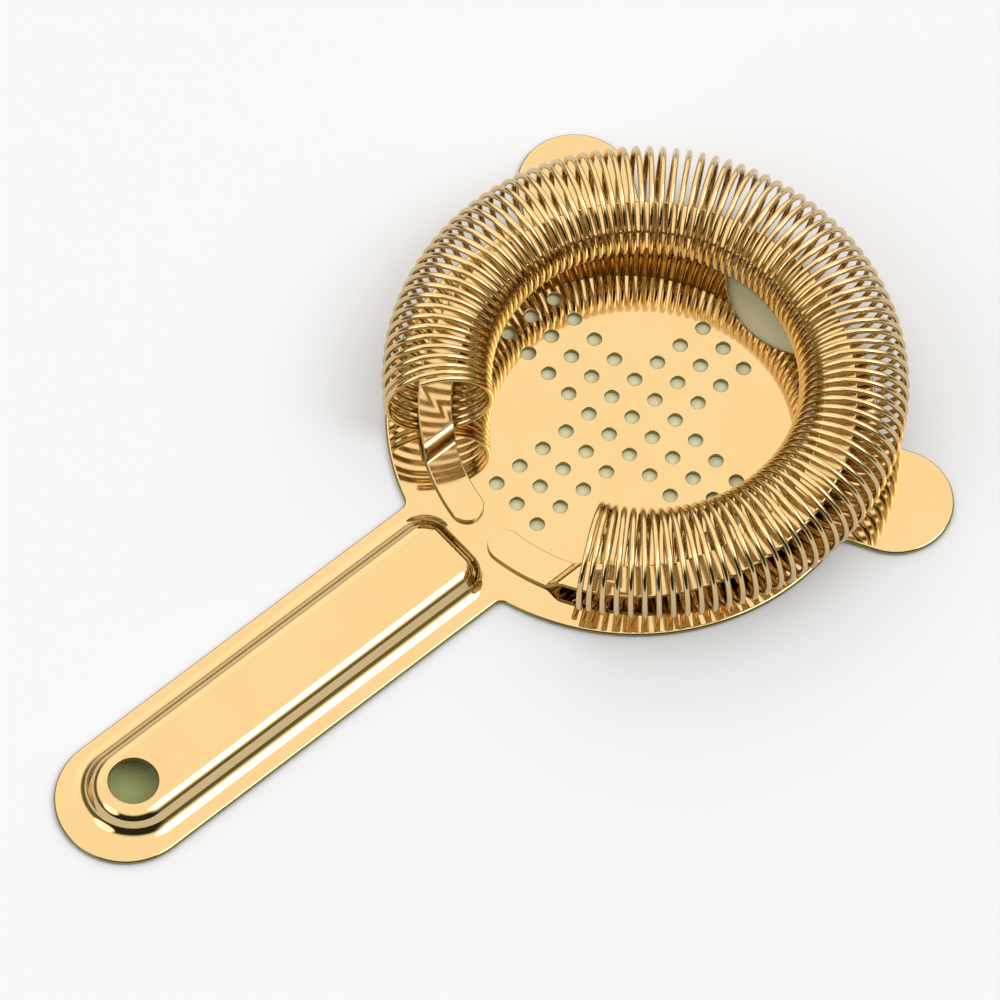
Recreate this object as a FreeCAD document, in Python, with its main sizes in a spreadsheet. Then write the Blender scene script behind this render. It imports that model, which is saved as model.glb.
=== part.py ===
"""Hawthorne cocktail strainer: a stamped plate, a retaining band and a coil spring.

The strainer lies coil side up. +X runs from the handle towards the front of the disc,
+Z is up, and z = 0 is the underside of the sheet. Every piece is drawn about the centre
of the disc and then moved forward by disc_offset, which puts the origin under the middle
of the whole strainer. Lengths are in millimetres and angles in degrees.
"""
import FreeCAD
import Part

import math
import os

import Sketcher

Vector = FreeCAD.Vector

SIZES = {
    "disc_offset": 42.8,            # from the origin to the centre of the disc
    "sheet_thickness": 1.2,
    "disc_radius": 46.8,
    "handle_width": 26.8,
    "handle_reach": 125.0,          # disc centre to the centre of the handle's round end
    "neck_fillet": 2.0,             # where the handle's sides meet the disc
    "ear_angle": 60.5,              # each side of the front
    "ear_width": 22.6,
    "ear_reach": 52.4,              # disc centre to the centre of an ear's round end
    "ear_fillet": 2.5,
    "notch_reach": 45.8,            # centre of the round pouring notch in the front edge
    "notch_radius": 16.0,
    "notch_fillet": 1.5,
    "drain_diameter": 2.8,
    "drain_pitch": 5.8,
    "hang_reach": 123.2,
    "hang_diameter": 9.5,
    "pad_height": 4.6,              # how far the handle's raised panel stands up
    "pad_front": 43.3,              # disc centre to the foot of the panel's front wall
    "pad_foot_width": 18.8,
    "pad_wall_run": 2.4,            # how far the walls lean in over their height
    "pad_foot_corner": 5.5,
    "pad_shoulder_fillet": 3.0,
    "pad_foot_fillet": 3.8,
    "band_centre": 1.1,             # the band's arc is this far in front of the disc centre
    "band_radius": 38.3,            # to the middle of the strip
    "band_width": 6.6,
    "band_thickness": 1.0,
    "band_lift": 2.7,               # gap below the strip where it leaves its feet
    "band_slope": 5.4,              # the arc of the band climbs towards the front
    "band_bend_reach": 28.0,        # where the climb starts, behind the disc centre
    "band_tip_angle": 171.7,        # centre of each foot's round end, from the front
    "left_foot_end": 17.4,          # the left foot lies flat up to here, beside the middle
    "left_ramp_end": 19.2,
    "right_foot_end": 17.4,
    "right_ramp_end": 19.2,
    "wire_diameter": 1.15,
    "coil_diameter": 20.9,          # outside, across one turn
    "coil_centre": 2.9,             # centre of the ring that the coil is bent into
    "coil_ring_radius": 39.4,
    "coil_height": 12.05,           # from the underside of the sheet to the coil's middle
    "coil_end_angle": 148.0,
    "coil_turns": 96.67,
    "end_turns": 2.0,               # close-wound turns at each end
    "end_turn_angle": 2.15,         # step of a close-wound turn round the ring
    "wire_start_angle": -50.0,      # where on the tube the wire starts, from its outside
}

AXIAL_COLUMNS = 10                  # columns of the arm that runs along the handle's axis
FIRST_COLUMN = -5
CROSS_ROWS = 4                      # rows of each side arm beyond the axial arm
ARM_HALF = 1                        # each arm is three holes wide
BLANK_REACH = 60                    # half the blank that the retaining band is cut from
LIFTED = "Sizes.sheet_thickness + Sizes.band_lift"
SPANS_PER_TURN = 4
COIL_LENGTHS = 32                   # the wire is kept as lengths that meet end to end

doc = FreeCAD.newDocument("hawthorne_strainer")
sheet = doc.addObject("Spreadsheet::Sheet", "Sizes")
for row, (alias, value) in enumerate(SIZES.items(), start=1):
    sheet.set("A%d" % row, alias)
    sheet.set("B%d" % row, str(value))
    sheet.setAlias("B%d" % row, alias)
doc.recompute()


def size(alias):
    """A driving dimension, read from the sheet."""
    return float(sheet.get(alias))


def new_body(name):
    body = doc.addObject("PartDesign::Body", name)
    body.Label = name
    body.setExpression("Placement.Base.x", "Sizes.disc_offset")
    return body


def origin_feature(body, role):
    for feature in body.Origin.OriginFeatures:
        if feature.Role == role:
            return feature
    raise ValueError(role)


def new_sketch(body, name, plane="XY_Plane", height=None, turn=None):
    """A sketch on one of the body's origin planes, lifted by height and turned about Z."""
    sketch = body.newObject("Sketcher::SketchObject", name)
    sketch.AttachmentSupport = [(origin_feature(body, plane), "")]
    sketch.MapMode = "FlatFace"
    if height:
        sketch.setExpression("AttachmentOffset.Base.z", height)
    if turn:
        sketch.AttachmentOffset = FreeCAD.Placement(Vector(), FreeCAD.Rotation(Vector(0, 0, 1), 10))
        sketch.setExpression("AttachmentOffset.Rotation.Angle", turn)
    return sketch


def constrain(sketch, expression, *constraint):
    """Add a dimension and bind it to the sheet."""
    index = sketch.addConstraint(Sketcher.Constraint(*constraint))
    sketch.setExpression("Constraints[%d]" % index, expression)


def circle(sketch, x_expression, radius_expression, x_start, radius_start):
    """A circle with its centre on the sketch's X axis."""
    index = sketch.addGeometry(Part.Circle(Vector(x_start, 0, 0), Vector(0, 0, 1), radius_start))
    sketch.addConstraint(Sketcher.Constraint("PointOnObject", index, 3, -1))
    constrain(sketch, radius_expression, "Radius", index, radius_start)
    if x_expression:
        constrain(sketch, x_expression, "DistanceX", -1, 1, index, 3, x_start)
    else:
        sketch.addConstraint(Sketcher.Constraint("PointOnObject", index, 3, -2))
    return index


def tongue(sketch, width, reach, sign):
    """A strip from the disc's middle along X that ends in a half circle.

    width and reach are names in the sheet; sign is the side it points to.
    """
    half = size(width) / 2
    far = sign * size(reach)
    middle = Vector(far, 0, 0)
    start_angle, end_angle = (-90, 90) if sign > 0 else (90, 270)
    arc = Part.ArcOfCircle(
        Part.Circle(middle, Vector(0, 0, 1), half),
        math.radians(start_angle),
        math.radians(end_angle),
    )
    end = sketch.addGeometry(arc)
    upper = sketch.addGeometry(Part.LineSegment(Vector(far, half, 0), Vector(0, half, 0)))
    root = sketch.addGeometry(Part.LineSegment(Vector(0, half, 0), Vector(0, -half, 0)))
    lower = sketch.addGeometry(Part.LineSegment(Vector(0, -half, 0), Vector(far, -half, 0)))
    upper_point, lower_point = (2, 1) if sign > 0 else (1, 2)
    sketch.addConstraint([
        Sketcher.Constraint("Tangent", end, upper_point, upper, 1),
        Sketcher.Constraint("Coincident", upper, 2, root, 1),
        Sketcher.Constraint("Coincident", root, 2, lower, 1),
        Sketcher.Constraint("Tangent", lower, 2, end, lower_point),
        Sketcher.Constraint("Horizontal", upper),
        Sketcher.Constraint("PointOnObject", root, 1, -2),
        Sketcher.Constraint("PointOnObject", root, 2, -2),
        Sketcher.Constraint("PointOnObject", end, 3, -1),
    ])
    constrain(sketch, "Sizes.%s / 2" % width, "Radius", end, half)
    if sign > 0:
        constrain(sketch, "Sizes.%s" % reach, "DistanceX", -1, 1, end, 3, size(reach))
    else:
        constrain(sketch, "Sizes.%s" % reach, "DistanceX", end, 3, -1, 1, size(reach))


def panel_outline(sketch, inset):
    """The raised panel's outline: round at the hanging hole, square with round corners in front.

    inset is an expression for how far it lies inside the foot of the panel's walls.
    """
    run = size("pad_wall_run") if "pad_wall_run" in inset else 0.0
    half = size("pad_foot_width") / 2 - run
    rear = -size("hang_reach")
    front = -size("pad_front") - run
    corner = size("pad_foot_corner")
    rear_arc = sketch.addGeometry(Part.ArcOfCircle(
        Part.Circle(Vector(rear, 0, 0), Vector(0, 0, 1), half), math.pi / 2, 1.5 * math.pi))
    lower = sketch.addGeometry(
        Part.LineSegment(Vector(rear, -half, 0), Vector(front - corner, -half, 0)))
    lower_corner = sketch.addGeometry(Part.ArcOfCircle(
        Part.Circle(Vector(front - corner, corner - half, 0), Vector(0, 0, 1), corner),
        -math.pi / 2, 0))
    end = sketch.addGeometry(
        Part.LineSegment(Vector(front, corner - half, 0), Vector(front, half - corner, 0)))
    upper_corner = sketch.addGeometry(Part.ArcOfCircle(
        Part.Circle(Vector(front - corner, half - corner, 0), Vector(0, 0, 1), corner),
        0, math.pi / 2))
    upper = sketch.addGeometry(
        Part.LineSegment(Vector(front - corner, half, 0), Vector(rear, half, 0)))
    sketch.addConstraint([
        Sketcher.Constraint("Tangent", rear_arc, 2, lower, 1),
        Sketcher.Constraint("Tangent", lower, 2, lower_corner, 1),
        Sketcher.Constraint("Tangent", lower_corner, 2, end, 1),
        Sketcher.Constraint("Tangent", end, 2, upper_corner, 1),
        Sketcher.Constraint("Tangent", upper_corner, 2, upper, 1),
        Sketcher.Constraint("Tangent", upper, 2, rear_arc, 1),
        Sketcher.Constraint("Horizontal", upper),
        Sketcher.Constraint("Vertical", end),
        Sketcher.Constraint("PointOnObject", rear_arc, 3, -1),
        Sketcher.Constraint("Equal", lower_corner, upper_corner),
    ])
    constrain(sketch, "Sizes.pad_foot_width / 2 - (%s)" % inset, "Radius", rear_arc, half)
    constrain(sketch, "Sizes.pad_foot_corner", "Radius", lower_corner, corner)
    constrain(sketch, "Sizes.hang_reach", "DistanceX", rear_arc, 3, -1, 1, -rear)
    constrain(sketch, "Sizes.pad_front + (%s)" % inset, "DistanceX", end, 1, -1, 1, -front)


def feature(body, kind, name, profile, **properties):
    """A feature of the body, with its properties set or bound where they are text."""
    made = body.newObject(kind, name)
    made.Profile = profile
    for key, value in properties.items():
        if isinstance(value, str) and value.startswith("Sizes."):
            made.setExpression(key, value)
        else:
            setattr(made, key, value)
    doc.recompute()
    return made


def cut_through(body, name, profile):
    """A pocket through the whole body, both ways from its sketch."""
    volume = body.Shape.Volume
    pocket = feature(body, "PartDesign::Pocket", name, profile, Type="ThroughAll", Midplane=True)
    if pocket.Shape.Volume > volume - 0.1:
        raise ValueError("%s cuts nothing" % name)
    return pocket


def fillet_edges(body, name, base, radius, wanted):
    """Round the edges of base for which wanted(edge) is true."""
    names = ["Edge%d" % (i + 1) for i, edge in enumerate(base.Shape.Edges) if wanted(edge)]
    if not names:
        raise ValueError("%s finds no edge" % name)
    fillet = body.newObject("PartDesign::Fillet", name)
    fillet.Base = (base, names)
    fillet.setExpression("Radius", "Sizes." + radius)
    doc.recompute()
    return fillet


def upright_at_radius(edge, radius):
    """True for an upright edge that stands on the circle of that radius about the middle."""
    box = edge.BoundBox
    upright = box.XLength < 0.01 and box.YLength < 0.01
    return upright and abs(math.hypot(box.Center.x, box.Center.y) - radius) < 0.05


def edge_at_height(edge, height):
    """True for an edge of the raised panel that lies level at that height."""
    box = edge.BoundBox
    level = abs(box.ZMin - height) < 0.01 and abs(box.ZMax - height) < 0.01
    foot_half = size("pad_foot_width") / 2 + 0.01
    return level and box.XMax < -size("pad_front") + 0.01 and box.YMax < foot_half \
        and box.YMin > -foot_half and box.XMin > -size("hang_reach") - foot_half


def hole_row(body, name, column, row, along_x, count):
    """Three drain holes across an arm, repeated along it by a linear pattern."""
    sketch = new_sketch(body, name + "_sketch")
    radius = size("drain_diameter") / 2
    pitch = size("drain_pitch")
    for step in range(-ARM_HALF, ARM_HALF + 1):
        i, j = (column, step) if along_x else (step, row)
        hole = sketch.addGeometry(
            Part.Circle(Vector(i * pitch, j * pitch, 0), Vector(0, 0, 1), radius))
        constrain(sketch, "Sizes.drain_diameter / 2", "Radius", hole, radius)
        for cells, direction, axis in ((i, "DistanceX", -2), (j, "DistanceY", -1)):
            if cells == 0:
                sketch.addConstraint(Sketcher.Constraint("PointOnObject", hole, 3, axis))
                continue
            ends = (-1, 1, hole, 3) if cells > 0 else (hole, 3, -1, 1)
            expression = "Sizes.drain_pitch * %d" % abs(cells)
            constrain(sketch, expression, direction, *ends, abs(cells) * pitch)
    pocket = cut_through(body, name, sketch)
    pattern = body.newObject("PartDesign::LinearPattern", name + "_pattern")
    pattern.Originals = [pocket]
    pattern.Direction = (origin_feature(body, "X_Axis" if along_x else "Y_Axis"), [""])
    pattern.Reversed = row < 0
    pattern.Occurrences = count
    pattern.setExpression("Length", "Sizes.drain_pitch * %d" % (count - 1))
    body.Tip = pattern
    doc.recompute()
    expected = count * (2 * ARM_HALF + 1) * math.pi * radius ** 2 * size("sheet_thickness")
    removed = pocket.BaseFeature.Shape.Volume - pattern.Shape.Volume
    if abs(removed - expected) > 0.5:
        raise ValueError("%s removes %.2f, not %.2f" % (name, removed, expected))


def build_plate():
    """One stamped sheet: disc, handle, two ears, drain holes, notch and raised panel."""
    body = new_body("strainer_plate")
    disc = new_sketch(body, "disc_outline")
    circle(disc, None, "Sizes.disc_radius", 0, size("disc_radius"))
    feature(body, "PartDesign::Pad", "disc", disc, Length="Sizes.sheet_thickness")

    handle = new_sketch(body, "handle_outline")
    tongue(handle, "handle_width", "handle_reach", -1)
    feature(body, "PartDesign::Pad", "handle", handle, Length="Sizes.sheet_thickness")

    ears = None
    for side, turn in (("left", "Sizes.ear_angle"), ("right", "-Sizes.ear_angle")):
        ear = new_sketch(body, side + "_ear_outline", turn=turn)
        tongue(ear, "ear_width", "ear_reach", 1)
        ears = feature(body, "PartDesign::Pad", side + "_ear", ear, Length="Sizes.sheet_thickness")

    radius = size("disc_radius")
    neck = fillet_edges(
        body, "neck_fillets", ears, "neck_fillet",
        lambda edge: upright_at_radius(edge, radius) and edge.BoundBox.XMax < -radius / 2)
    fillet_edges(
        body, "ear_fillets", neck, "ear_fillet",
        lambda edge: upright_at_radius(edge, radius) and edge.BoundBox.XMax > -radius / 2)

    notch = new_sketch(body, "notch_outline")
    circle(notch, "Sizes.notch_reach", "Sizes.notch_radius", size("notch_reach"), size("notch_radius"))
    pocket = cut_through(body, "pouring_notch", notch)
    fillet_edges(
        body, "notch_fillets", pocket, "notch_fillet",
        lambda edge: upright_at_radius(edge, radius) and abs(edge.BoundBox.Center.y)
        < size("notch_radius") + 1)

    hole_row(body, "axial_drains", FIRST_COLUMN, 0, True, AXIAL_COLUMNS)
    hole_row(body, "left_drains", 0, ARM_HALF + 1, False, CROSS_ROWS)
    hole_row(body, "right_drains", 0, -ARM_HALF - 1, False, CROSS_ROWS)
    build_panel(body)

    hang = new_sketch(body, "hang_hole_outline")
    circle(hang, "-Sizes.hang_reach", "Sizes.hang_diameter / 2",
           -size("hang_reach"), size("hang_diameter") / 2)
    cut_through(body, "hang_hole", hang)
    return body


def build_panel(body):
    """The handle's raised panel, hollow below, with its wall as thick as the sheet."""
    height = size("pad_height")
    thickness = size("sheet_thickness")
    foot = new_sketch(body, "panel_foot", height="Sizes.sheet_thickness")
    panel_outline(foot, "0")
    top = new_sketch(body, "panel_top", height="Sizes.sheet_thickness + Sizes.pad_height")
    panel_outline(top, "Sizes.pad_wall_run")
    panel = feature(body, "PartDesign::AdditiveLoft", "panel", foot, Sections=[top])
    shoulder = fillet_edges(
        body, "panel_shoulder", panel, "pad_shoulder_fillet",
        lambda edge: edge_at_height(edge, thickness + height))
    fillet_edges(
        body, "panel_foot_fillet", shoulder, "pad_foot_fillet",
        lambda edge: edge_at_height(edge, thickness))

    wall = "Sizes.sheet_thickness * 1.13"
    lean = "Sizes.sheet_thickness * Sizes.pad_wall_run / Sizes.pad_height"
    mouth = new_sketch(body, "hollow_mouth")
    panel_outline(mouth, "%s - %s" % (wall, lean))
    roof = new_sketch(body, "hollow_roof", height="Sizes.pad_height")
    panel_outline(roof, "%s - %s + Sizes.pad_wall_run" % (wall, lean))
    before = body.Shape.Volume
    hollow = feature(body, "PartDesign::SubtractiveLoft", "panel_hollow", mouth, Sections=[roof])
    if hollow.Shape.Volume > before - 100:
        raise ValueError("the panel is not hollow")


def build_band():
    """A flat strip bent to an open ring inside the coil, with a foot at each end."""
    body = new_body("retaining_band")
    base = size("sheet_thickness")
    low = base + size("band_lift")
    depth = size("band_thickness")
    bend = -size("band_bend_reach")
    slope = math.radians(size("band_slope"))

    side = new_sketch(body, "climb_profile", plane="XZ_Plane")
    rise = (BLANK_REACH - bend) * math.tan(slope)
    lines = polygon(side, [
        Vector(-BLANK_REACH, low), Vector(bend, low), Vector(BLANK_REACH, low + rise),
        Vector(BLANK_REACH, low + rise + depth), Vector(bend, low + depth),
        Vector(-BLANK_REACH, low + depth),
    ])
    side.addConstraint([
        Sketcher.Constraint("Horizontal", lines[0]),
        Sketcher.Constraint("Horizontal", lines[4]),
        Sketcher.Constraint("Vertical", lines[2]),
        Sketcher.Constraint("Vertical", lines[5]),
        Sketcher.Constraint("Parallel", lines[1], lines[3]),
        Sketcher.Constraint("Equal", lines[0], lines[4]),
        Sketcher.Constraint("DistanceX", lines[0], 1, -1, 1, BLANK_REACH),
        Sketcher.Constraint("DistanceX", -1, 1, lines[2], 1, BLANK_REACH),
    ])
    constrain(side, LIFTED, "DistanceY", -1, 1, lines[0], 1, low)
    constrain(side, "Sizes.band_thickness", "DistanceY", lines[0], 1, lines[4], 2, depth)
    constrain(side, "Sizes.band_bend_reach", "DistanceX", lines[0], 2, -1, 1, -bend)
    constrain(side, "Sizes.band_slope", "Angle", -1, 1, lines[1], 1, slope)
    feature(body, "PartDesign::Pad", "climbing_strip", side,
            Length=2 * BLANK_REACH, Midplane=True)

    gap = new_sketch(body, "feet_gap")
    sides = {"left": 1, "right": -1}
    lines = polygon(gap, [
        Vector(bend, -size("right_ramp_end")), Vector(bend, size("left_ramp_end")),
        Vector(-BLANK_REACH, size("left_ramp_end")), Vector(-BLANK_REACH, -size("right_ramp_end")),
    ])
    gap.addConstraint([
        Sketcher.Constraint("Vertical", lines[0]),
        Sketcher.Constraint("Horizontal", lines[1]),
        Sketcher.Constraint("Vertical", lines[2]),
        Sketcher.Constraint("Horizontal", lines[3]),
        Sketcher.Constraint("DistanceX", lines[2], 1, -1, 1, BLANK_REACH),
    ])
    constrain(gap, "Sizes.band_bend_reach", "DistanceX", lines[0], 1, -1, 1, -bend)
    constrain(gap, "Sizes.left_ramp_end", "DistanceY", -1, 1, lines[0], 2, size("left_ramp_end"))
    constrain(gap, "Sizes.right_ramp_end", "DistanceY", lines[0], 1, -1, 1, size("right_ramp_end"))
    cut_through(body, "space_for_feet", gap)

    feet = new_sketch(body, "feet_profile", plane="YZ_Plane", height="-Sizes.band_bend_reach")
    across = [-size("right_ramp_end"), -size("right_foot_end"),
              size("left_foot_end"), size("left_ramp_end")]
    under = [Vector(y, z) for y, z in zip(across, (low, base, base, low))]
    over = [point + Vector(0, depth) for point in reversed(under)]
    lines = polygon(feet, under + over)
    feet.addConstraint([
        Sketcher.Constraint("Horizontal", lines[1]),
        Sketcher.Constraint("Vertical", lines[3]),
        Sketcher.Constraint("Horizontal", lines[5]),
        Sketcher.Constraint("Vertical", lines[7]),
        Sketcher.Constraint("Parallel", lines[0], lines[6]),
        Sketcher.Constraint("Parallel", lines[2], lines[4]),
    ])
    constrain(feet, "Sizes.sheet_thickness", "DistanceY", -1, 1, lines[1], 1, base)
    constrain(feet, LIFTED, "DistanceY", -1, 1, lines[0], 1, low)
    constrain(feet, LIFTED, "DistanceY", -1, 1, lines[2], 2, low)
    for line in (3, 7):
        ends = (line, 1, line, 2) if line == 3 else (line, 2, line, 1)
        constrain(feet, "Sizes.band_thickness", "DistanceY", *ends, depth)
    for name, sign in sides.items():
        foot = lines[1]
        end = (foot, 2) if sign > 0 else (foot, 1)
        ramp = (lines[2], 2) if sign > 0 else (lines[0], 1)
        for alias, point in (("_foot_end", end), ("_ramp_end", ramp)):
            ends = (-1, 1) + point if sign > 0 else point + (-1, 1)
            constrain(feet, "Sizes." + name + alias, "DistanceX", *ends, size(name + alias))
    feature(body, "PartDesign::Pad", "feet", feet, Length=BLANK_REACH + bend, Reversed=True)

    outline = new_sketch(body, "ring_outline")
    ring_outline(outline)
    cut_through(body, "ring", outline)
    return body


def ring_outline(sketch):
    """Everything around the open ring with its two round tips, to be cut away."""
    middle = size("band_centre")
    radius = size("band_radius")
    half = size("band_width") / 2
    tip = math.radians(size("band_tip_angle"))
    square = BLANK_REACH + 5
    lines = polygon(sketch, [
        Vector(-square, -square), Vector(square, -square), Vector(square, square), Vector(-square, square),
    ])
    for line in lines:
        sketch.addConstraint(Sketcher.Constraint("Block", line))
    centre = Vector(middle, 0)
    up = Vector(0, 0, 1)
    left = Vector(middle + radius * math.cos(tip), radius * math.sin(tip))
    right = Vector(left.x, -left.y)
    arcs = [sketch.addGeometry(Part.ArcOfCircle(Part.Circle(point, up, r), start, end))
            for point, r, start, end in (
                (centre, radius + half, -tip, tip),
                (left, half, tip, tip + math.pi),
                (centre, radius - half, -tip, tip),
                (right, half, math.pi - tip, 2 * math.pi - tip))]
    outer, left_tip, inner, right_tip = arcs
    sketch.addConstraint([
        Sketcher.Constraint("Tangent", outer, 2, left_tip, 1),
        Sketcher.Constraint("Tangent", left_tip, 2, inner, 2),
        Sketcher.Constraint("Tangent", inner, 1, right_tip, 1),
        Sketcher.Constraint("Tangent", right_tip, 2, outer, 1),
        Sketcher.Constraint("Coincident", outer, 3, inner, 3),
        Sketcher.Constraint("PointOnObject", outer, 3, -1),
    ])
    constrain(sketch, "Sizes.band_centre", "DistanceX", -1, 1, outer, 3, middle)
    constrain(sketch, "Sizes.band_radius + Sizes.band_width / 2", "Radius", outer, radius + half)
    constrain(sketch, "Sizes.band_radius - Sizes.band_width / 2", "Radius", inner, radius - half)
    aside = "Sizes.band_radius * sin(Sizes.band_tip_angle * 1 deg)"
    constrain(sketch, aside, "DistanceY", -1, 1, left_tip, 3, left.y)
    constrain(sketch, aside, "DistanceY", right_tip, 3, -1, 1, left.y)


def polygon(sketch, points):
    """Closed straight outline through the points, as joined lines."""
    lines = []
    for start, end in zip(points, points[1:] + points[:1]):
        lines.append(sketch.addGeometry(Part.LineSegment(start, end)))
    for line, following in zip(lines, lines[1:] + lines[:1]):
        sketch.addConstraint(Sketcher.Constraint("Coincident", line, 2, following, 1))
    return lines


def ring_angle(turn):
    """Where round the ring, in radians, the wire has got to after that many turns."""
    close = size("end_turns")
    last = size("coil_turns")
    close_step = size("end_turn_angle")
    open_step = 2 * (size("coil_end_angle") - close * close_step) / (last - 2 * close)
    wound = min(turn, close) + max(turn - last + close, 0)
    open_turns = min(max(turn - close, 0), last - 2 * close)
    return math.radians(wound * close_step + open_turns * open_step - size("coil_end_angle"))


def wire_point(turn):
    """The middle of the wire after that many turns; the coil is wound right-handed."""
    helix_radius = (size("coil_diameter") - size("wire_diameter")) / 2
    around = math.radians(size("wire_start_angle")) - 2 * math.pi * turn
    along = ring_angle(turn)
    reach = size("coil_ring_radius") + helix_radius * math.cos(around)
    return Vector(
        size("coil_centre") + reach * math.cos(along),
        reach * math.sin(along),
        size("coil_height") + helix_radius * math.sin(around),
    )


def wire_direction(turn):
    step = 1e-4
    return (wire_point(turn + step) - wire_point(turn - step)).normalize()


def two_arcs(start, start_direction, end, end_direction):
    """Two arcs, tangent where they meet, from start to end in the given directions.

    Each arc is returned as its first point, its direction there and its last point.
    """
    chord = end - start
    together = start_direction + end_direction
    a = 2 * (1 - start_direction.dot(end_direction))
    b = 2 * chord.dot(together)
    reach = (-b + math.sqrt(b * b + 4 * a * chord.dot(chord))) / (2 * a)
    first = start + start_direction * reach
    second = end - end_direction * reach
    middle = (first + second) * 0.5
    return (start, start_direction, middle), (middle, (second - first).normalize(), end)


def build_coil():
    """One round wire wound as a coil and bent to an open ring, made of tangent arcs."""
    spans = round(size("coil_turns") * SPANS_PER_TURN)
    turns = [size("coil_turns") * k / spans for k in range(spans + 1)]
    points = [wire_point(turn) for turn in turns]
    directions = [wire_direction(turn) for turn in turns]
    radius = size("wire_diameter") / 2
    lengths = []
    expected = 0.0
    bounds = [round(spans * k / COIL_LENGTHS) for k in range(COIL_LENGTHS + 1)]
    for first, last in zip(bounds, bounds[1:]):
        edge = Part.Edge(Part.Circle(points[first], directions[first], radius))
        faces = [Part.Face(Part.Wire([edge]))]
        for k in range(first, last):
            for arc in two_arcs(points[k], directions[k], points[k + 1], directions[k + 1]):
                face, edge, length = wire_arc(edge, *arc)
                faces.append(face)
                expected += math.pi * radius ** 2 * length
        cap = Part.Face(Part.Wire([edge]))
        cap.reverse()
        lengths.append(Part.Solid(Part.Shell(faces + [cap])))
    wound = Part.makeCompound(lengths)
    if abs(wound.Volume - expected) > 0.01 * expected:
        raise ValueError("the coil's volume is %.1f, not %.1f" % (wound.Volume, expected))
    coil = doc.addObject("Part::Feature", "coil_spring")
    coil.Label = "coil_spring"
    coil.Shape = wound
    coil.setExpression("Placement.Base.x", "Sizes.disc_offset")
    return coil


def wire_arc(edge, start, direction, end):
    """Carry the wire's round edge along an arc: the face, its far edge and its length."""
    chord = end - start
    axis = direction.cross(chord).normalize()
    inward = axis.cross(direction)
    bend_radius = chord.dot(chord) / (2 * chord.dot(inward))
    angle = 2 * math.asin(chord.Length / (2 * bend_radius))
    face = edge.revolve(start + inward * bend_radius, axis, math.degrees(angle))
    far_edge = min(
        (ring for ring in face.Edges if ring.isClosed()),
        key=lambda ring: (ring.Curve.Center - end).Length)
    return face, far_edge, bend_radius * angle


def write_part(item):
    """Write one sub-part's shape, if it is sound."""
    shape = item.Shape
    if shape.isNull() or not shape.isValid():
        raise ValueError("%s is not a valid shape" % item.Label)
    shape.exportStep("parts/%s.step" % item.Label)
    box = shape.optimalBoundingBox(False)
    print("%s: %d solids, %.0f mm3, x %.2f to %.2f, y %.2f to %.2f, z %.2f to %.2f" % (
        item.Label, len(shape.Solids), shape.Volume,
        box.XMin, box.XMax, box.YMin, box.YMax, box.ZMin, box.ZMax))


parts = [build_plate(), build_band(), build_coil()]
doc.recompute()
for item in doc.Objects:
    if "Invalid" in item.State or "Error" in item.State:
        raise ValueError("%s did not build" % item.Label)
os.makedirs("parts", exist_ok=True)
for item in parts:
    write_part(item)
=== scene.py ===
"""The looks of a hawthorne strainer: a pressed plate, a retaining band and a coil spring.

Everything is in metres in the CAD's frame: +X runs from the handle to the front, +Z is up
and z = 0 is the surface that the plate lies on. Sizes are given in millimetres, times MM.
"""

import math

import bpy
import numpy as np
from mathutils import Matrix, Vector
from mathutils.geometry import delaunay_2d_cdt


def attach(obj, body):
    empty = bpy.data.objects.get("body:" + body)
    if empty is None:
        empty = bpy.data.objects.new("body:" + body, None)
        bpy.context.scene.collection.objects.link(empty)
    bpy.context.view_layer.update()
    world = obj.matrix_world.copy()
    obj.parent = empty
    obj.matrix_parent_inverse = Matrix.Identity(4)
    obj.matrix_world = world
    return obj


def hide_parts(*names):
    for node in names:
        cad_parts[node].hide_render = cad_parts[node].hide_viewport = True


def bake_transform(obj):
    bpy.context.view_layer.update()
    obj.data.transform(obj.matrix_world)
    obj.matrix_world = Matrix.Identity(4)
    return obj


MM = 0.001
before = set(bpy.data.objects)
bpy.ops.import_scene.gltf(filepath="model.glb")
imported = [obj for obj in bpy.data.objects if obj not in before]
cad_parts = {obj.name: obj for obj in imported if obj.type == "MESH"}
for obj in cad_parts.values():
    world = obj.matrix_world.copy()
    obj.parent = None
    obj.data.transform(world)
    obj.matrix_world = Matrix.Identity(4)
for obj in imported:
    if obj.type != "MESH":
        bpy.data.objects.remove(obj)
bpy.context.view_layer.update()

# Sheet, in the part's own sizes
DISC_X = 42.8 * MM                   # the middle of the disc
SHEET = 1.2 * MM
DISC_RADIUS = 46.8 * MM
HANDLE_HALF = 13.4 * MM
HANDLE_REACH = 125.0 * MM
NECK_FILLET = 2.0 * MM
EAR_ANGLE = math.radians(60.5)
EAR_HALF = 11.3 * MM
EAR_REACH = 52.4 * MM
EAR_FILLET = 2.5 * MM
NOTCH_REACH = 45.8 * MM
NOTCH_RADIUS = 16.0 * MM
NOTCH_FILLET = 1.5 * MM
HANG_REACH = 123.2 * MM
HANG_RADIUS = 4.75 * MM
HANG_POINTS = 72
DRAIN_RADIUS = 1.4 * MM
DRAIN_PITCH = 5.8 * MM
DRAIN_POINTS = 28
ARM_WIDTH = (-1, 0, 1)               # the places of an arm's rows of holes, in pitches
LONG_ARM = range(-5, 5)
SHORT_ARMS = range(2, 6)
EDGE_ROUND = 0.55 * MM               # rolled edges of the stamped outline
HOLE_ROUND = 0.15 * MM
EDGE_STEPS = 6                       # strips in each of an edge's two roundings
DARK_PAINT_FROM = 2                         # strips of an edge's rounding before its middle, which takes the painted dark reflection
NO_GAP = 0.001 * MM                  # points closer than this are one point
ARC_STEP = 0.5 * MM                  # the longest step along an arc, and its largest turn
ARC_TURN = math.radians(6)
FILL_OUTPUT = 0                      # delaunay_2d_cdt returns every triangle
FILL_NEAR = 1e-9                     # and takes points this close as one

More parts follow.
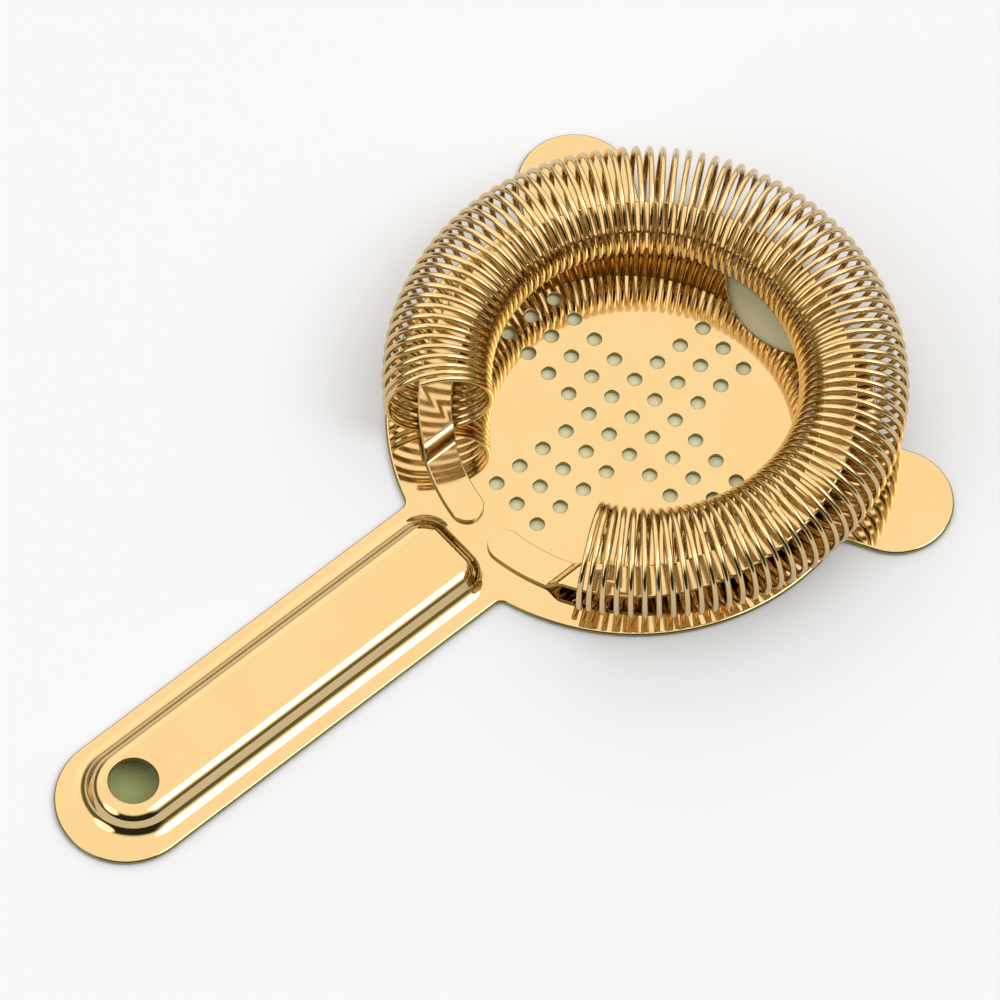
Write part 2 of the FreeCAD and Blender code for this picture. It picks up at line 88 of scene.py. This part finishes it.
# Raised panel of the handle
PANEL_HEIGHT = 4.6 * MM
PANEL_FRONT = 43.3 * MM
PANEL_HALF = 9.4 * MM
PANEL_RUN = 2.4 * MM
PANEL_CORNER = 5.5 * MM
PANEL_SHOULDER = 3.0 * MM
PANEL_FOOT = 3.8 * MM
PANEL_TIGHTEST = 0.02 * MM
CORNER_STEPS = 8
REAR_STEPS = 48
BEND_STEPS = 7

# Band
BAND_X = DISC_X + 1.1 * MM
BAND_RADIUS = 38.3 * MM
BAND_HALF = 3.3 * MM
BAND_THICK = 1.0 * MM
BAND_LIFT = 2.7 * MM
BAND_SLOPE = math.tan(math.radians(5.4))
BAND_BEND_X = DISC_X - 28.0 * MM
BAND_TIP = math.radians(171.7)
FOOT_END = 17.4 * MM                 # the feet lie flat up to here, beside the middle
RAMP_END = 19.2 * MM
BEND_ROUND = 1.2 * MM
BAND_EDGE = 0.40 * MM
BAND_STEPS = 900                     # along it, round each tip, across a face, round an edge
TIP_STEPS = 18
FACE_STEPS = 14
ROUND_STEPS = 4
TIP_NARROWEST = 0.01                 # share of the width that is left at the tip
PROBE = 0.02 * MM                    # how far apart its slope is measured

# Coil
WIRE_RADIUS = 0.575 * MM
TURN_RADIUS = 9.875 * MM
RING_X = DISC_X + 2.9 * MM
RING_RADIUS = 39.4 * MM
RING_Z = 12.05 * MM
RING_END = 148.0
TURNS = 96.67
END_TURNS = 2.0
END_STEP = 2.15
START_ANGLE = -50.0
STEPS_PER_TURN = 56
WIRE_SIDES = 14
TURN_PROBE = 1e-3                    # turns each way, to find the wire's direction
CHAMFER = 0.1 * MM                   # at the wire's cut ends
CHAMFER_INSIDE = 0.8


# ---------------------------------------------------------------- outlines

def arc(centre, radius, start, end):
    """Points along an arc, with the outward normals of its circle, ends included."""
    turn = abs(end - start)
    count = max(3, math.ceil(turn * radius / ARC_STEP), math.ceil(turn / ARC_TURN))
    angles = np.linspace(start, end, count + 1)
    normals = np.stack([np.cos(angles), np.sin(angles)], axis=1)
    return np.asarray(centre) + radius * normals, normals


def turned(points, angle):
    """Points turned anticlockwise about the middle."""
    c, s = math.cos(angle), math.sin(angle)
    return points @ np.array([[c, s], [-s, c]])


def tongue(direction, half, reach, fillet):
    """A round-ended tongue standing out of the disc: fillet, end and fillet, anticlockwise."""
    along = math.sqrt((DISC_RADIUS + fillet) ** 2 - (half + fillet) ** 2)
    lean = math.atan2(half + fillet, along)
    pieces = []
    for sign in (-1, 1):
        centre = (along, sign * (half + fillet))
        if sign < 0:
            points, normals = arc(centre, fillet, math.pi - lean, math.pi / 2)
        else:
            points, normals = arc(centre, fillet, -math.pi / 2, lean - math.pi)
        pieces.append((points, -normals))
    end = arc((reach, 0), half, -math.pi / 2, math.pi / 2)
    ordered = [pieces[0], end, pieces[1]]
    return [(turned(p, direction), turned(n, direction)) for p, n in ordered], lean


def outline():
    """The plate's outline about the disc centre, anticlockwise, with outward normals."""
    inner = DISC_RADIUS - NOTCH_FILLET
    outer = NOTCH_RADIUS + NOTCH_FILLET
    x = (inner ** 2 - outer ** 2 + NOTCH_REACH ** 2) / (2 * NOTCH_REACH)
    y = math.sqrt(inner ** 2 - x ** 2)
    on_disc = math.atan2(y, x)
    on_notch = math.atan2(y, x - NOTCH_REACH)
    round_notch = arc((NOTCH_REACH, 0), NOTCH_RADIUS, 2 * math.pi - on_notch, on_notch)
    left_lip = arc((x, y), NOTCH_FILLET, on_notch - math.pi, on_disc)
    right_lip = arc((x, -y), NOTCH_FILLET, -on_disc, math.pi - on_notch)
    left_ear, ear_lean = tongue(EAR_ANGLE, EAR_HALF, EAR_REACH, EAR_FILLET)
    right_ear, _ = tongue(-EAR_ANGLE, EAR_HALF, EAR_REACH, EAR_FILLET)
    handle, neck_lean = tongue(math.pi, HANDLE_HALF, HANDLE_REACH, NECK_FILLET)
    back = math.pi - neck_lean
    runs = [(round_notch[0], -round_notch[1]), left_lip]
    runs.append(arc((0, 0), DISC_RADIUS, on_disc, EAR_ANGLE - ear_lean))
    runs += left_ear
    runs.append(arc((0, 0), DISC_RADIUS, EAR_ANGLE + ear_lean, back))
    runs += handle
    runs.append(arc((0, 0), DISC_RADIUS, -back, -EAR_ANGLE - ear_lean))
    runs += right_ear
    runs.append(arc((0, 0), DISC_RADIUS, ear_lean - EAR_ANGLE, -on_disc))
    runs.append(right_lip)
    points = np.concatenate([run[0] for run in runs])
    normals = np.concatenate([run[1] for run in runs])
    gaps = np.linalg.norm(points - np.roll(points, 1, axis=0), axis=1)
    return points[gaps > NO_GAP], normals[gaps > NO_GAP]


def round_hole(x, y, radius, count):
    """A hole's outline with the normals that point out of the metal, into the hole."""
    angles = np.linspace(2 * math.pi, 0, count, endpoint=False)
    out = np.stack([np.cos(angles), np.sin(angles)], axis=1)
    return np.array([x, y]) + radius * out, -out


def drain_holes():
    """Two crossed arms of holes, each three holes wide."""
    places = [(i, j) for i in LONG_ARM for j in ARM_WIDTH]
    places += [(i, j * side) for i in ARM_WIDTH for j in SHORT_ARMS for side in (-1, 1)]
    return [round_hole(i * DRAIN_PITCH, j * DRAIN_PITCH, DRAIN_RADIUS, DRAIN_POINTS)
            for i, j in places]


# ---------------------------------------------------------------- meshes

class Shape:
    """Collects vertices with their normals, faces, and the edge faces that take the painted dark
    reflection.
    """

    def __init__(self):
        self.points = []
        self.normals = []
        self.faces = []
        self.dark_painted_faces = set()

    def add(self, point, normal):
        """One vertex. Returns its number."""
        self.points.append(tuple(point))
        self.normals.append(tuple(normal))
        return len(self.points) - 1

    def ring(self, flat, height, normals):
        """A closed row of vertices at one height. Returns their numbers."""
        return [self.add((x, y, height), normal) for (x, y), normal in zip(flat, normals)]

    def join(self, lower, upper, dark_painted_faces=()):
        """Quads between two rings of equal length; the last argument lists the ones that take the
        painted dark reflection.
        """
        self.dark_painted_faces.update(len(self.faces) + k for k in dark_painted_faces)
        for k in range(len(lower)):
            n = (k + 1) % len(lower)
            self.faces.append((lower[k], lower[n], upper[n], upper[k]))

    def make(self, name, offset=(0, 0, 0)):
        """The Blender object, moved by the offset; the faces with the painted dark reflection take
        its second material.
        """
        mesh = bpy.data.meshes.new(name)
        places = [Vector(point) + Vector(offset) for point in self.points]
        mesh.from_pydata(places, [], self.faces)
        for index in self.dark_painted_faces:
            mesh.polygons[index].material_index = 1
        mesh.validate()
        mesh.shade_smooth()
        normals = [Vector(normal).normalized() for normal in self.normals]
        mesh.normals_split_custom_set_from_vertices(normals)
        item = bpy.data.objects.new(name, mesh)
        bpy.context.scene.collection.objects.link(item)
        return item


def rolled_edge(shape, flat, outward, top, bottom, radius):
    """The sheet's rounded edge, whose middle takes the painted dark reflection. Returns its upper
    and lower rings.
    """
    leans = [math.pi / 2 * k / EDGE_STEPS for k in range(EDGE_STEPS + 1)]
    rings = []
    for level, sign, order in ((top - radius, 1, reversed(leans)), (bottom + radius, -1, leans)):
        for lean in order:
            side = math.cos(lean)
            rise = sign * math.sin(lean)
            inset = radius * (1 - side)
            normals = [(*(normal * side), rise) for normal in outward]
            rings.append(shape.ring(flat - outward * inset, level + radius * rise, normals))
    for k, (upper, lower) in enumerate(zip(rings, rings[1:])):
        # the middle strips of the rounding take the painted dark reflection
        middle = DARK_PAINT_FROM <= k <= len(rings) - 2 - DARK_PAINT_FROM
        shape.join(lower, upper, range(len(lower)) if middle else ())
    return rings[0], rings[-1]


def inside(point, path):
    """Whether a point is inside a closed path."""
    x, y = point
    following = np.roll(path, -1, axis=0)
    crosses = (path[:, 1] > y) != (following[:, 1] > y)
    run = following[crosses] - path[crosses]
    at = path[crosses, 0] + (y - path[crosses, 1]) * run[:, 0] / run[:, 1]
    return bool(np.count_nonzero(at > x) % 2)


def fill(shape, outer, holes, up):
    """Flat metal between an outer ring and the rings of its holes."""
    rings = [outer] + holes
    used = [v for ring in rings for v in ring]
    flat = [Vector(shape.points[v][:2]) for v in used]
    loops = []
    for ring in rings:
        first = loops[-1][-1] + 1 if loops else 0
        loops.append(list(range(first, first + len(ring))))
    edges = [edge for loop in loops for edge in zip(loop, loop[1:] + loop[:1])]
    _, _, triangles, origin, _, _ = delaunay_2d_cdt(flat, edges, loops, FILL_OUTPUT, FILL_NEAR)
    paths = [np.array([flat[v] for v in loop]) for loop in loops]
    for triangle in triangles:
        corners = [used[origin[v][0]] for v in triangle]
        a, b, c = (Vector(shape.points[v][:2]) for v in corners)
        middle = (a + b + c) / 3
        if not inside(middle, paths[0]) or any(inside(middle, path) for path in paths[1:]):
            continue
        if ((b - a).cross(c - a) > 0) != up:
            corners.reverse()
        shape.faces.append(tuple(corners))


# ---------------------------------------------------------------- the plate

def panel_profile():
    """Inset, height and lean of the panel's wall, from its foot to its top."""
    slope = math.atan2(PANEL_HEIGHT, PANEL_RUN)
    foot_run = PANEL_FOOT * math.tan(slope / 2)
    top_run = PANEL_SHOULDER * math.tan(slope / 2)
    leans = [slope * k / BEND_STEPS for k in range(BEND_STEPS + 1)]
    profile = [(PANEL_FOOT * math.sin(lean) - foot_run,
                PANEL_FOOT * (1 - math.cos(lean)), lean) for lean in leans]
    profile += [(PANEL_RUN + top_run - PANEL_SHOULDER * math.sin(lean),
                 PANEL_HEIGHT - PANEL_SHOULDER * (1 - math.cos(lean)), lean)
                for lean in reversed(leans)]
    return profile


def panel_contour(inset):
    """The panel's foot outline moved inwards, anticlockwise, with outward normals."""
    half = PANEL_HALF - inset
    corner = max(PANEL_CORNER - inset, PANEL_TIGHTEST)
    front = -PANEL_FRONT - inset
    quarter = math.pi / 2
    runs = []
    for centre, radius, start, turn, steps in (
            ((front - corner, corner - half), corner, -quarter, quarter, CORNER_STEPS),
            ((front - corner, half - corner), corner, 0, quarter, CORNER_STEPS),
            ((-HANG_REACH, 0), half, quarter, 2 * quarter, REAR_STEPS)):
        angles = start + np.linspace(0, turn, steps + 1)
        out = np.stack([np.cos(angles), np.sin(angles)], axis=1)
        runs.append((np.array(centre) + radius * out, out))
    return np.concatenate([run[0] for run in runs]), np.concatenate([run[1] for run in runs])


def panel_skin(shape, depth, facing):
    """The raised panel's skin, facing up (1) or down (-1). Returns its foot and top rings."""
    rings = []
    for inset, height, lean in panel_profile():
        path, outward = panel_contour(inset + depth * math.sin(lean))
        level = SHEET + height - depth * math.cos(lean)
        side = facing * math.sin(lean)
        normals = [(*(normal * side), facing * math.cos(lean)) for normal in outward]
        rings.append(shape.ring(path, level, normals))
    for lower, upper in zip(rings, rings[1:]):
        if facing > 0:
            shape.join(lower, upper)
        else:
            shape.join(upper, lower)
    return rings[0], rings[-1]


def build_plate():
    """The stamped sheet: outline, holes, and the hollow panel of the handle."""
    shape = Shape()
    raised = SHEET + PANEL_HEIGHT
    top, bottom = rolled_edge(shape, *outline(), SHEET, 0, EDGE_ROUND)
    holes = [rolled_edge(shape, *hole, SHEET, 0, HOLE_ROUND) for hole in drain_holes()]
    upper_foot, upper_top = panel_skin(shape, 0, 1)
    lower_foot, lower_top = panel_skin(shape, SHEET, -1)
    hanging = round_hole(-HANG_REACH, 0, HANG_RADIUS, HANG_POINTS)
    hang = rolled_edge(shape, *hanging, raised, raised - SHEET, HOLE_ROUND)
    fill(shape, top, [hole[0] for hole in holes] + [upper_foot], True)
    fill(shape, upper_top, [hang[0]], True)
    fill(shape, bottom, [hole[1] for hole in holes] + [lower_foot], False)
    fill(shape, lower_top, [hang[1]], False)
    return shape.make("pressed_plate", (DISC_X, 0, 0))


# ---------------------------------------------------------------- the band

def ease(distance):
    """A bend: 0 before it, its distance after it, and a short arc between."""
    half = BEND_ROUND / 2
    if distance <= -half:
        return 0.0
    if distance >= half:
        return distance
    return (distance + half) ** 2 / (4 * half)


def band_height(x, y):
    """Underside of the band above the floor, at a place in the frame."""
    ramp = BAND_LIFT
    if x < DISC_X:
        steep = BAND_LIFT / (RAMP_END - FOOT_END)
        ramp = steep * (ease(abs(y) - FOOT_END) - ease(abs(y) - RAMP_END))
    return SHEET + ramp + BAND_SLOPE * ease(x - BAND_BEND_X)


def band_up(x, y):
    """The direction square to the strip's face."""
    lean_x = (band_height(x + PROBE, y) - band_height(x - PROBE, y)) / (2 * PROBE)
    lean_y = (band_height(x, y + PROBE) - band_height(x, y - PROBE)) / (2 * PROBE)
    return Vector((-lean_x, -lean_y, 1)).normalized()


def band_rows():
    """Angle, share of the full width and how far round its end each row of the strip is."""
    rows = [(-BAND_TIP + 2 * BAND_TIP * k / BAND_STEPS, 1.0, 0.0) for k in range(BAND_STEPS + 1)]
    for k in range(1, TIP_STEPS + 1):
        lean = math.pi / 2 * k / TIP_STEPS
        ahead = BAND_HALF * math.sin(lean) / BAND_RADIUS
        width = max(math.cos(lean), TIP_NARROWEST)
        rows.append((BAND_TIP + ahead, width, lean))
        rows.insert(0, (-BAND_TIP - ahead, width, -lean))
    return rows


def band_section():
    """Across the strip and up: a flat oblong with rounded edges, with its normals."""
    half = BAND_HALF - BAND_EDGE
    tall = BAND_THICK / 2 - BAND_EDGE
    points = []
    for side_x, side_z, start in ((1, 1, 0), (-1, 1, 90), (-1, -1, 180), (1, -1, 270)):
        for k in range(ROUND_STEPS + 1):
            angle = math.radians(start + 90 * k / ROUND_STEPS)
            out = math.cos(angle)
            up = math.sin(angle)
            points.append((side_x * half + BAND_EDGE * out, side_z * tall + BAND_EDGE * up,
                           out, up))
        if side_x == side_z:
            for k in range(1, FACE_STEPS):
                across = side_x * half * (1 - 2 * k / FACE_STEPS)
                points.append((across, side_z * (tall + BAND_EDGE), 0, side_z))
    return points


def build_band():
    """An open ring of strip, with round tips, rounded edges coloured with a painted dark reflection,
    and pressed feet.
    """
    shape = Shape()
    section = band_section()
    rings = []
    for angle, width, lean in band_rows():
        radial = Vector((math.cos(angle), math.sin(angle), 0))
        onward = Vector((-math.sin(angle), math.cos(angle), 0))
        ring = []
        for across, up, side_normal, up_normal in section:
            reach = BAND_RADIUS + across * width
            x = BAND_X + reach * radial.x
            y = reach * radial.y
            face = band_up(x, y)
            side = radial * side_normal * math.cos(lean) + onward * abs(side_normal) * math.sin(lean)
            middle = Vector((x, y, band_height(x, y) + BAND_THICK / 2))
            ring.append(shape.add(middle + face * up, side + face * up_normal))
        rings.append(ring)
    # the steep side faces take the painted dark reflection
    steep = [abs(side_normal) > 0.5 for _, _, side_normal, _ in section]
    dark_painted_faces = [k for k in range(len(section)) if steep[k] and steep[(k + 1) % len(section)]]
    for one, other in zip(rings, rings[1:]):
        shape.join(other, one, dark_painted_faces)
    shape.faces.append(tuple(reversed(rings[0])))
    shape.faces.append(tuple(rings[-1]))
    return shape.make("bent_band")


# ---------------------------------------------------------------- the coil

def ring_angle(turn):
    """Where round the ring, in degrees, the wire has got to after that many turns."""
    open_step = 2 * (RING_END - END_TURNS * END_STEP) / (TURNS - 2 * END_TURNS)
    wound = min(turn, END_TURNS) + max(turn - TURNS + END_TURNS, 0)
    open_turns = min(max(turn - END_TURNS, 0), TURNS - 2 * END_TURNS)
    return wound * END_STEP + open_turns * open_step - RING_END


def wire_point(turn):
    """The middle of the wire after that many turns."""
    around = math.radians(START_ANGLE) - 2 * math.pi * turn
    along = math.radians(ring_angle(turn))
    reach = RING_RADIUS + TURN_RADIUS * math.cos(around)
    return Vector((RING_X + reach * math.cos(along), reach * math.sin(along),
                   RING_Z + TURN_RADIUS * math.sin(around)))


def wire_ahead(turn):
    """The direction of the wire after that many turns."""
    return (wire_point(turn + TURN_PROBE) - wire_point(turn - TURN_PROBE)).normalized()


def close_wire(shape, ring, turn, sign):
    """A chamfered cut end; the sign is -1 at the start of the wire and 1 at its end."""
    ahead = wire_ahead(turn) * sign
    middle = wire_point(turn)
    cap = [shape.add(middle + (Vector(shape.points[v]) - middle) * CHAMFER_INSIDE + ahead * CHAMFER,
                     ahead) for v in ring]
    if sign > 0:
        shape.join(ring, cap)
        shape.faces.append(tuple(cap))
    else:
        shape.join(cap, ring)
        shape.faces.append(tuple(reversed(cap)))


def build_coil():
    """One round wire along the whole winding, with its cut ends closed."""
    shape = Shape()
    count = round(TURNS * STEPS_PER_TURN)
    turns = [TURNS * k / count for k in range(count + 1)]
    rings = []
    for turn in turns:
        middle = wire_point(turn)
        ahead = wire_ahead(turn)
        spin = math.radians(START_ANGLE) - 2 * math.pi * turn
        along = math.radians(ring_angle(turn))
        out = Vector((math.cos(along) * math.cos(spin), math.sin(along) * math.cos(spin),
                      math.sin(spin)))
        out = (out - ahead * out.dot(ahead)).normalized()
        side = ahead.cross(out)
        ring = []
        for k in range(WIRE_SIDES):
            angle = 2 * math.pi * k / WIRE_SIDES
            normal = out * math.cos(angle) + side * math.sin(angle)
            ring.append(shape.add(middle + normal * WIRE_RADIUS, normal))
        rings.append(ring)
    for one, other in zip(rings, rings[1:]):
        shape.join(one, other)
    close_wire(shape, rings[0], turns[0], -1)
    close_wire(shape, rings[-1], turns[-1], 1)
    return shape.make("wound_coil")


# ---------------------------------------------------------------- materials

GOLD = (0.639, 0.484, 0.251)
# dark olive for the cut edges: a painted dark reflection of the studio's dark surround, not the
# plating's own colour
EDGE_PAINTED_DARK = (0.26, 0.25, 0.11)
WORN = (1, 0.97, 0.92)               # shares of the tint where it is faintly worn
WEAR_NOISE = (60.0, 3.0)             # scale and detail of each noise
SMEAR_NOISE = (180.0, 4.0)
WAVE_NOISE = (90.0, 1.0)
WEAR_RANGE = (0.3, 0.7)              # the part of the noise that the change takes up
SMEAR_RANGE = (0.35, 0.75)
SMEAR = 0.05                         # how much rougher the smears are
WAVE_STRENGTH = 0.06
WAVE_DEPTH = 0.2 * MM
MATT = 0.9


def gold(name, roughness, tint):
    """Mirror-polished gold-coloured plating with faint wear and a slightly uneven surface."""
    material = bpy.data.materials.new(name)
    material.use_nodes = True
    nodes = material.node_tree.nodes
    links = material.node_tree.links
    shader = nodes["Principled BSDF"]
    shader.inputs["Metallic"].default_value = 1.0
    place = nodes.new("ShaderNodeTexCoord").outputs["Object"]

    def noise(scale, detail):
        cloud = nodes.new("ShaderNodeTexNoise")
        cloud.inputs["Scale"].default_value = scale
        cloud.inputs["Detail"].default_value = detail
        links.new(place, cloud.inputs["Vector"])
        return cloud.outputs["Fac"]

    wear = nodes.new("ShaderNodeValToRGB")
    shades = ([whole * share for whole, share in zip(tint, WORN)], tint)
    for element, position, shade in zip(wear.color_ramp.elements, WEAR_RANGE, shades):
        element.position = position
        element.color = (*shade, 1)
    links.new(noise(*WEAR_NOISE), wear.inputs["Fac"])
    links.new(wear.outputs["Color"], shader.inputs["Base Color"])
    smear = nodes.new("ShaderNodeMapRange")
    smear.inputs["From Min"].default_value = SMEAR_RANGE[0]
    smear.inputs["From Max"].default_value = SMEAR_RANGE[1]
    smear.inputs["To Min"].default_value = roughness
    smear.inputs["To Max"].default_value = roughness + SMEAR
    links.new(noise(*SMEAR_NOISE), smear.inputs["Value"])
    links.new(smear.outputs["Result"], shader.inputs["Roughness"])
    wave = nodes.new("ShaderNodeBump")
    wave.inputs["Strength"].default_value = WAVE_STRENGTH
    wave.inputs["Distance"].default_value = WAVE_DEPTH
    links.new(noise(*WAVE_NOISE), wave.inputs["Height"])
    links.new(wave.outputs["Normal"], shader.inputs["Normal"])
    return material


# ---------------------------------------------------------------- studio

FLOOR_REACH = 3.0
FLOOR_GAP = 0.06 * MM                # keeps the floor from coinciding with the sheet
FLOOR = (0.612, 0.648, 0.708)
SHADE_RADIUS = 38.0 * MM             # the shaded floor stays under the plate and the coil
SHADE_HALF = 11.9 * MM
# painted shade with painted gold bounce light on the floor under the disc and the handle's panel
DISC_SHADE = (0.60, 0.60, 0.40)
HANDLE_SHADE = (0.34, 0.38, 0.16)
DIFFUSER = (1.55, 1.42, 1.27)        # plain warm cloth overhead and behind
BACKDROP = (0.55, 0.53, 0.36)        # all round, just above the floor
BACKDROP_TOP = (0.08, 0.24)          # where it ends, as a height
SIDE_PANELS = (                      # colour, middle, width as shares of the way there, top
    ((0.27, 0.28, 0.15), (0.35, -0.94, 0), (0.25, 0.60), (0.34, 0.50)),
    ((0.17, 0.18, 0.10), (-0.75, 0.66, 0), (0.30, 0.65), (0.30, 0.50)),
    ((0.030, 0.036, 0.024), (-0.690, -0.724, 0), (0.35, 0.65), (0.60, 0.82)),
)
SOFT_BOXES = (                       # direction, angular radius, soft edge, strength
    ((0.33, -0.52, 0.78), 13, 6, 3.6),
    ((0.22, 0.80, 0.56), 17, 14, 0.15),
    ((-0.86, 0.08, 0.50), 14, 6, 1.8),
)


def lay(name, path, height, colour):
    """A flat matt patch of the studio."""
    shape = Shape()
    shape.faces.append(tuple(shape.ring(path, height, [(0, 0, 1)] * len(path))))
    patch = shape.make(name)
    material = bpy.data.materials.new(name)
    material.use_nodes = True
    shader = material.node_tree.nodes["Principled BSDF"]
    shader.inputs["Base Color"].default_value = (*colour, 1)
    shader.inputs["Roughness"].default_value = MATT
    patch.data.materials.append(material)


def build_floor():
    """The floor, and patches of it under the strainer painted darker and olive: painted shade with
    painted bounce light from the gold above.
    """
    reach = FLOOR_REACH
    lay("floor", [(-reach, -reach), (reach, -reach), (reach, reach), (-reach, reach)],
        -FLOOR_GAP, FLOOR)
    # patches of painted shade under the disc and the handle
    disc, _ = arc((DISC_X, 0), SHADE_RADIUS, 0, 2 * math.pi)
    lay("disc_shade", disc[:-1], -FLOOR_GAP / 2, DISC_SHADE)
    end, _ = arc((DISC_X - HANG_REACH, 0), SHADE_HALF, math.pi / 2, 1.5 * math.pi)
    neck_x = DISC_X - SHADE_RADIUS
    neck = [(neck_x, -SHADE_HALF), (neck_x, SHADE_HALF)]
    lay("handle_shade", np.concatenate([end, neck]), -FLOOR_GAP / 4, HANDLE_SHADE)


def build_world():
    """A light tent with a darker backdrop and side panels, and three soft boxes."""
    world = bpy.data.worlds.new("studio")
    bpy.context.scene.world = world
    world.use_nodes = True
    nodes = world.node_tree.nodes
    links = world.node_tree.links
    background = nodes["Background"]
    place = nodes.new("ShaderNodeTexCoord").outputs["Generated"]

    def towards(direction):
        dot = nodes.new("ShaderNodeVectorMath")
        dot.operation = "DOT_PRODUCT"
        dot.inputs[1].default_value = direction
        links.new(place, dot.inputs[0])
        return dot.outputs["Value"]

    def ramp(value, low, high, start, end):
        step = nodes.new("ShaderNodeMapRange")
        step.interpolation_type = "SMOOTHSTEP"
        step.inputs["From Min"].default_value = low
        step.inputs["From Max"].default_value = high
        step.inputs["To Min"].default_value = start
        step.inputs["To Max"].default_value = end
        links.new(value, step.inputs["Value"])
        return step.outputs["Result"]

    def combine(operation, first, second):
        math_node = nodes.new("ShaderNodeMath")
        math_node.operation = operation
        links.new(first, math_node.inputs[0])
        links.new(second, math_node.inputs[1])
        return math_node.outputs["Value"]

    def over(below, colour, zone):
        shade = nodes.new("ShaderNodeMix")
        shade.data_type = "RGBA"
        shade.inputs["A"].default_value = (*DIFFUSER, 1)
        shade.inputs["B"].default_value = (*colour, 1)
        links.new(zone, shade.inputs["Factor"])
        if below:
            links.new(below, shade.inputs["A"])
        return shade.outputs["Result"]

    height = towards((0, 0, 1))
    total = over(None, BACKDROP, ramp(height, *BACKDROP_TOP, 1, 0))
    for colour, middle, width, top in SIDE_PANELS:
        sideways = ramp(towards(middle), *width, 0, 1)
        total = over(total, colour, combine("MULTIPLY", sideways, ramp(height, *top, 1, 0)))
    for direction, radius, soft, strength in SOFT_BOXES:
        outer = math.cos(math.radians(radius + soft))
        inner = math.cos(math.radians(radius))
        patch = ramp(towards(Vector(direction).normalized()), outer, inner, 0, strength)
        both = nodes.new("ShaderNodeVectorMath")
        both.operation = "ADD"
        links.new(total, both.inputs[0])
        links.new(patch, both.inputs[1])
        total = both.outputs["Vector"]
    links.new(total, background.inputs["Color"])


LENS = 323.7
FILM = 36
AZIMUTH = math.radians(-43.64)
ELEVATION = math.radians(61.07)
ROLL = math.radians(2.90)
TARGET = Vector((12.3 * MM, 3.1 * MM, 0))
DISTANCE = 1.6963
FAR = 20


def build_camera():
    """The photograph's viewpoint: high up, behind the strainer and to its right."""
    camera = bpy.data.cameras.new("camera")
    camera.sensor_width = FILM
    camera.lens = LENS
    camera.clip_end = FAR
    item = bpy.data.objects.new("camera", camera)
    bpy.context.scene.collection.objects.link(item)
    back = Vector((math.sin(AZIMUTH) * math.cos(ELEVATION),
                   -math.cos(AZIMUTH) * math.cos(ELEVATION), math.sin(ELEVATION)))
    level = Vector((0, 0, 1)).cross(back).normalized()
    above = back.cross(level)
    right = level * math.cos(ROLL) + above * math.sin(ROLL)
    up = above * math.cos(ROLL) - level * math.sin(ROLL)
    place = TARGET + back * DISTANCE
    item.matrix_world = Matrix((
        (right.x, up.x, back.x, place.x),
        (right.y, up.y, back.y, place.y),
        (right.z, up.z, back.z, place.z),
        (0, 0, 0, 1)))
    bpy.context.scene.camera = item


# ---------------------------------------------------------------- the scene

plate = build_plate()
band = build_band()
coil = build_coil()
plate.data.materials.append(gold("plated_sheet", 0.03, GOLD))
band.data.materials.append(gold("plated_band", 0.05, GOLD))
coil.data.materials.append(gold("plated_wire", 0.06, GOLD))
# the edges' material: gold darkened into a painted dark reflection
painted_dark_edge = gold("painted_dark_edge", 0.15, EDGE_PAINTED_DARK)
plate.data.materials.append(painted_dark_edge)
band.data.materials.append(painted_dark_edge)
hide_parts("strainer_plate")
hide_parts("retaining_band")
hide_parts("coil_spring")
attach(plate, "plate")
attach(band, "plate")
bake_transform(coil)
build_floor()
build_world()
build_camera()
bpy.context.scene.view_settings.view_transform = "Standard"
